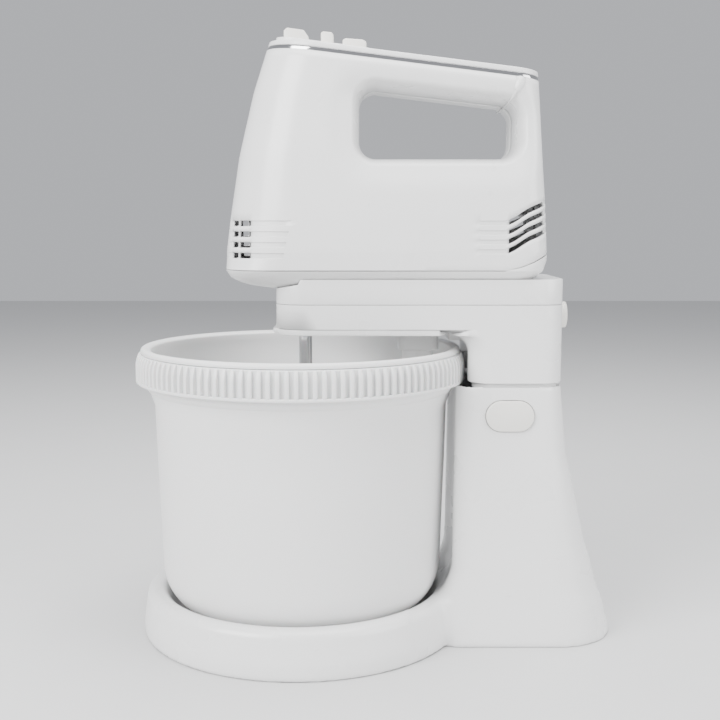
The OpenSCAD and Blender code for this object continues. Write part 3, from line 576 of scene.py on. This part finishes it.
def grip_top(u):
    """Height of the hole's upper edge, which runs along with the cap."""
    return 342.3 - 0.1163 * u


def grip_edge(u, z, wider=0.0):
    """Nearest point of the handle hole's outline, made wider by some millimetres, and how far it is."""
    r = GRIP_BEND
    inner_u = min(max(u, GRIP_U0 + r), GRIP_U1 - r)
    inner_z = min(max(z, GRIP_LOW + r), grip_top(inner_u) - r)
    away = max(math.hypot(u - inner_u, z - inner_z), 1e-6)
    r += wider
    return inner_u + (u - inner_u) * r / away, inner_z + (z - inner_z) * r / away, away - r


def skin_half(u, z):
    """Half width of the body at a place beside or behind the hole, less the hollow round the handle."""
    away = grip_edge(u, z)[2]
    into = min(max(0.0, u - lookup(z, TAIL) + REAR_CORNER), REAR_CORNER)
    facing = math.sqrt(REAR_CORNER ** 2 - into ** 2) / REAR_CORNER
    hollow = SCOOP_DEPTH * (1 - ease(away, 0, SCOOP_WIDTH)) * ease(lid_z(u) - z, 0, 22) * facing ** 2
    return lookup(z, HALF) - REAR_CORNER * (1 - facing) - hollow


def in_handle(col, row, above):
    """True for the faces round the handle hole that are left out of the first grid."""
    beside = col[0] == "side" and round(col[1] * SIDE_STEPS) >= SIDE_LEAD
    behind = col[0] == "corner" and col[1] < 0.25
    return row[0] == "high" and above[1] < 0.97 and (beside or behind)


def body_half(side):
    """One half of the body as a surface; side is -1 for the half nearest the camera."""
    bm = bmesh.new()
    bmesh.ops.create_grid(bm, x_segments=len(COLS) - 1, y_segments=len(ROWS) - 1, size=1)
    bm.verts.ensure_lookup_table()
    place = {}
    for i, row in enumerate(ROWS):
        for j, col in enumerate(COLS):
            u = 0.0
            for _ in range(4):
                z = row_height(row, u)
                u, y, nu, ny = outline(col, z)
            sink = vent_depth(col, u, row)
            if z > SCOOP_LOW and (col[0] == "side" or (col[0] == "corner" and col[1] < 0.7)):
                y = skin_half(u, z)
            v = bm.verts[i * len(COLS) + j]
            v.co = at(u - nu * sink, side * (max(y, 0.1) - ny * sink), z)
            place[v] = (i, j, u)
    hole, slots = [], []
    for face in bm.faces:
        i, j, u = min(place[v] for v in face.verts)
        if is_slot(COLS[j], u, ROWS[i]):
            slots.append(face)
        elif in_handle(COLS[j], ROWS[i], ROWS[i + 1]):
            hole.append(face)
    rim = [e for e in {e for f in hole for e in f.edges} if sum(f in hole for f in e.link_faces) == 1]
    bmesh.ops.delete(bm, geom=hole + slots, context="FACES")
    start = {v: ((v.co.x - AXIS_X) / MM, v.co.z / MM) for v in {v for e in rim for v in e.verts}}
    loops = [("skin", share) for share in SKIN_LOOPS] + [("roll", angle) for angle in ROLL_LOOPS]
    loops += [("tunnel", share) for share in TUNNEL_LOOPS]
    for kind, value in loops:
        rim, twins = grow(bm, rim)
        kept = {}
        for old, v in twins.items():
            u, z = start[old]
            kept[v] = (u, z)
            end_u, end_z, _ = grip_edge(u, z, FLARE)
            if kind == "skin":
                u, z = u + (end_u - u) * value, z + (end_z - z) * value
                y = skin_half(u, z)
            else:
                a = math.radians(value) if kind == "roll" else math.pi / 2
                u, z, _ = grip_edge(u, z, FLARE * (1 - math.sin(a)))
                y = skin_half(end_u, end_z) - FLARE_DEPTH * (1 - math.cos(a))
                if kind == "tunnel":
                    y = y + (0.1 - y) * value
            v.co = at(u, side * y, z)
        start = kept
    bmesh.ops.remove_doubles(bm, verts=bm.verts, dist=MERGE)
    bmesh.ops.recalc_face_normals(bm, faces=bm.faces)
    outermost = max(bm.faces, key=lambda f: side * f.calc_center_median().y)
    if outermost.normal.y * side < 0:
        bmesh.ops.reverse_faces(bm, faces=bm.faces)
    return bm


for node_name in ("mixer_housing_left", "mixer_housing_right"):
    side = -1 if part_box(node_name)[0][1] < -0.02 else 1
    piece(node_name + "_shell", body_half(side), node_name, sharp=45.0, wall=1.3)

# %% [markdown]
# The cap, the chrome strip under it and the pan under the body are rounded copies.

# %% Cap, strip and pan
MIXER_ROUNDED = {"top_cover": 1.1, "chrome_trim": 0.2, "bottom_pan": 1.0}
for node_name, radius in MIXER_ROUNDED.items():
    rounded(node_name, radius)

# %% [markdown]
# The stand is one moulding: a round base with a hollow column that grows out of it. Its front
# follows the bowl and is rounded into the sides. The column is lofted and the base is spun. A voxel
# remesh melts them into one, and they are smoothed most where they meet, so that the column flows
# out of the base. Then the underside and the column's top are opened, and the skin gets its wall.

# %% Stand
COLUMN_REAR = ((0, 7, 13, 23, 32, 50, 61, 88, 118, 139, 160),
               (196.2, 194.5, 192.5, 189.9, 186, 181, 177.1, 170.7, 163.3, 161.2, 159.2))
COLUMN_HALF = ((0, 60, 160), (49, 45.5, 42))
REAR_BEND = ((0, 60, 100, 160), (38, 26, 18, 14))
FRONT_BEND = 14.0
BOW_STEPS, BEND_STEPS, FLAT_STEPS, REAR_STEPS = 8, 12, 14, 3


def rear_part(rear, bend, half):
    """The rear corner of an outline and half of its flat rear."""
    turns = [math.pi / 2 * t / BEND_STEPS for t in range(BEND_STEPS)]
    corner = [(rear - bend + bend * math.sin(a), half - bend + bend * math.cos(a)) for a in turns]
    return corner + [(rear, (half - bend) * (1 - t / REAR_STEPS)) for t in range(REAR_STEPS)]


def both_sides(side, rear, z):
    """The whole outline at height z, from the half that lies away from the camera."""
    return [at(u, y, z) for u, y in side + [(rear, 0.0)] + [(u, -y) for u, y in side[:0:-1]]]


def column_section(z, front, inset=0.0, half=None, rear=None, bend=None):
    """Outline of the column at height z: an arc about the bowl's axis in front, bends and flat sides."""
    half = (half or lookup(z, COLUMN_HALF)) - inset
    rear = (rear or lookup(z, COLUMN_REAR)) - inset
    bend = (bend or lookup(z, REAR_BEND)) - inset
    front = front + inset
    fr = FRONT_BEND - inset
    yc = half - fr
    uc = math.sqrt((front + fr) ** 2 - yc ** 2)
    turn = math.atan2(yc, uc)
    bow = [turn * t / BOW_STEPS for t in range(BOW_STEPS)]
    side = [(front * math.cos(a), front * math.sin(a)) for a in bow]
    turns = [math.pi + turn - (math.pi / 2 + turn) * t / BEND_STEPS for t in range(BEND_STEPS)]
    side += [(uc + fr * math.cos(a), yc + fr * math.sin(a)) for a in turns]
    side += [(uc + (rear - bend - uc) * t / FLAT_STEPS, half) for t in range(FLAT_STEPS)]
    return both_sides(side + rear_part(rear, bend, half), rear, z)


# %% [markdown]
# The arm's lower shell is a box that runs over the bowl and a root that comes down on the column.
# It's lofted upwards: the root's front bows round the ring, then swings forward in a fillet, and
# the outline jumps to the whole arm. The plate under the arm closes it, so that part stays open.

# %% Arm
ARM_FRONT, ARM_REAR, ARM_HALF, ARM_LOW = -13.6, 159.2, 42.0, 193.9
ARM_BEND, ARM_REAR_BEND = 18, 14
ROOT_FRONT, ROOT_TOP, FILLET, FILLET_STEPS = 106.0, 190.0, 11.5, 8
PLATE_END = 93
CHAMFER = 0.5


def arm_section(z, inset=0.0):
    """Outline of the arm, with as many points as the column's, so that one can follow the other."""
    half, front, bend = ARM_HALF - inset, ARM_FRONT + inset, ARM_BEND - inset
    rear, rear_bend = ARM_REAR - inset, ARM_REAR_BEND - inset
    flat = rear - rear_bend - front - bend
    side = [(front, (half - bend) * t / BOW_STEPS) for t in range(BOW_STEPS)]
    turns = [math.pi / 2 * t / BEND_STEPS for t in range(BEND_STEPS)]
    side += [(front + bend * (1 - math.cos(a)), half - bend * (1 - math.sin(a))) for a in turns]
    side += [(front + bend + flat * t / FLAT_STEPS, half) for t in range(FLAT_STEPS)]
    return both_sides(side + rear_part(rear, rear_bend, half), rear, z)


def root_section(z, front, inset=0.0):
    """Outline of the root: the column's front with the arm's sides and rear."""
    return column_section(z, front, inset, half=ARM_HALF, rear=ARM_REAR, bend=ARM_REAR_BEND)


root_low = float(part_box("arm_housing")[0][2]) / MM
arm_high = float(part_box("arm_housing")[1][2]) / MM
sections = [root_section(root_low, ROOT_FRONT, CHAMFER), root_section(root_low + CHAMFER, ROOT_FRONT)]
for t in range(FILLET_STEPS + 1):
    a = math.pi / 2 * t / FILLET_STEPS
    sections.append(root_section(ROOT_TOP - FILLET + FILLET * math.sin(a),
                                 ROOT_FRONT - FILLET * (1 - math.cos(a))))
sections += [root_section(ARM_LOW, ROOT_FRONT - FILLET), arm_section(ARM_LOW),
             arm_section(arm_high - CHAMFER), arm_section(arm_high, CHAMFER)]
arm = loft(sections, caps=False)
under = [f for f in arm.faces
         if abs(f.normal.z) > 0.9 and (f.calc_center_median().x - AXIS_X) < PLATE_END * MM]
bmesh.ops.delete(arm, geom=under, context="FACES")
bmesh.ops.remove_doubles(arm, verts=arm.verts, dist=MERGE)
piece("arm_shell", arm, "arm_housing", sharp=40, wall=2.2)

# %% [markdown]
# Here the stand is put together. A collar rises from the column's top into the arm's root, and a
# hole with round ends is cut into the near side for the button that lets the arm tilt.

# %% Stand shell
COLUMN_FRONT, FOOT_REACH = 98.7, 7.5
VOXEL, STAND_WALL = 1.5, 2.0
SMOOTH_ALL, SMOOTH_MEETING = 3, 40
COLLAR_INSET, COLLAR_SINK, COLLAR_RISE = 2.6, 2, 1.9
BUTTON_GAP, END_STEPS = 0.4, 14
CUT_FROM, CUT_TO = -60, -30
stand_low, stand_high = (np.array(c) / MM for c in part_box("stand_housing"))
SEAM = float(stand_high[2])
FOOT_Z = float(stand_low[2])
levels = [FOOT_Z, 2, 7, 13, 18, 23, 27, 32, 38, 44, 50, 61, 75, 88, 103, 118, 139, SEAM]
column = loft([column_section(z, COLUMN_FRONT - FOOT_REACH * (1 - ease(z, 22, 50))) for z in levels])
base_outline = (
    [(0.2, FOOT_Z), (100.2, FOOT_Z), (101, FOOT_Z + 0.8), (101, 9), (99, 22)] + arc(93, 23, 6, 0, 90, 6)
    + arc(91, 24, 5, 90, 150, 5) + [(80, 14), (72, 8), (0.2, 8)])
absorb(column, spun(base_outline))
stand = piece("stand_moulding", column, "stand_housing")
melt = stand.modifiers.new("melt", "REMESH")
melt.mode = "VOXEL"
melt.voxel_size = VOXEL * MM
baked(stand)
button_low, button_high = (np.array(c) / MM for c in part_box("tilt_button"))
BUTTON_U = float(button_low[0] + button_high[0]) / 2 - AXIS_X / MM
BUTTON_Z = float(button_low[2] + button_high[2]) / 2
BUTTON_HALF = float(button_high[0] - button_low[0]) / 2
BUTTON_R = float(button_high[2] - button_low[2]) / 2


def stadium(a, r):
    """Outline of a bar with round ends in the plane of the column's side."""
    turns = np.linspace(-math.pi / 2, math.pi / 2, END_STEPS)
    end = [(a - r + r * math.cos(t), r * math.sin(t)) for t in turns]
    return end + [(-u, -z) for u, z in end]


def smoothed(bm, verts, times):
    """Draws points towards their neighbours, several times over."""
    for _ in range(times):
        bmesh.ops.smooth_vert(bm, verts=verts, factor=0.5, use_axis_x=True, use_axis_y=True, use_axis_z=True)


bm = bmesh.new()
bm.from_mesh(stand.data)
smoothed(bm, bm.verts, SMOOTH_ALL)
meeting = [v for v in bm.verts if 5 * MM < v.co.z < 50 * MM and 66 < (v.co.x - AXIS_X) / MM < 112
           and math.hypot(v.co.x - AXIS_X, v.co.y) > 88 * MM]
smoothed(bm, meeting, SMOOTH_MEETING)
open_faces = [f for f in bm.faces if (f.normal.z < -0.8 and f.calc_center_median().z < 2.2 * MM)
              or (f.normal.z > 0.8 and f.calc_center_median().z > (SEAM - 1.6) * MM)]
bmesh.ops.delete(bm, geom=open_faces, context="FACES")
collar_levels = (SEAM - COLLAR_SINK, SEAM + COLLAR_RISE)
collar = loft([column_section(z, ROOT_FRONT, COLLAR_INSET) for z in collar_levels], caps=False)
absorb(bm, collar)
bm.to_mesh(stand.data)
bm.free()
wall = stand.modifiers.new("wall", "SOLIDIFY")
wall.thickness = STAND_WALL * MM
wall.offset = -1
baked(stand)
button_outline = stadium(BUTTON_HALF + BUTTON_GAP, BUTTON_R + BUTTON_GAP)
carved(stand, loft([[at(BUTTON_U + u, y, BUTTON_Z + z) for u, z in button_outline]
                    for y in (CUT_FROM, CUT_TO)]))
print("stand:", len(stand.data.polygons), "faces")

# %% [markdown]
# The stage is a plain pale floor. One large soft light stands in front to the left, as a window
# would, another hangs above, and a weaker one fills the right side.

# %% Light and floor
MIDDLE = (0, 0, 0.2)
FLOOR_HALF = 3
WORLD_COLOUR, WORLD_STRENGTH = (0.93, 0.95, 1.0, 1), 0.6


def soft_light(name, place, size, power):
    """An area light, in metres and watts, that looks at the middle of the mixer."""
    data = bpy.data.lights.new(name, "AREA")
    data.shape = "RECTANGLE"
    data.size, data.size_y = size
    data.energy = power
    light = bpy.data.objects.new(name, data)
    light.location = place
    light.rotation_euler = (Vector(MIDDLE) - Vector(place)).to_track_quat("-Z", "Y").to_euler()
    bpy.context.scene.collection.objects.link(light)
    return light


lights = [soft_light("window", (-0.9, -0.9, 0.9), (0.9, 0.9), 39.0),
          soft_light("top", (0.1, 0.0, 1.3), (1.2, 1.0), 30.0),
          soft_light("fill", (1.1, -0.7, 0.5), (0.8, 0.8), 14.0)]
floor_mesh = bpy.data.meshes.new("floor")
floor = bmesh.new()
bmesh.ops.create_grid(floor, x_segments=1, y_segments=1, size=FLOOR_HALF)
floor.to_mesh(floor_mesh)
floor.free()
floor_object = bpy.data.objects.new("floor", floor_mesh)
bpy.context.scene.collection.objects.link(floor_object)
paper = finish("floor_paper", (0.62, 0.62, 0.62), (0.6, 0.6, 0.6), (0.6, 0.7), 300.0, 0.02)
floor_object.data.materials.append(paper)
world = bpy.data.worlds.new("world")
world.use_nodes = True
background = world.node_tree.nodes["Background"]
background.inputs["Color"].default_value = WORLD_COLOUR
background.inputs["Strength"].default_value = WORLD_STRENGTH
bpy.context.scene.world = world
print(len(lights), "lights")
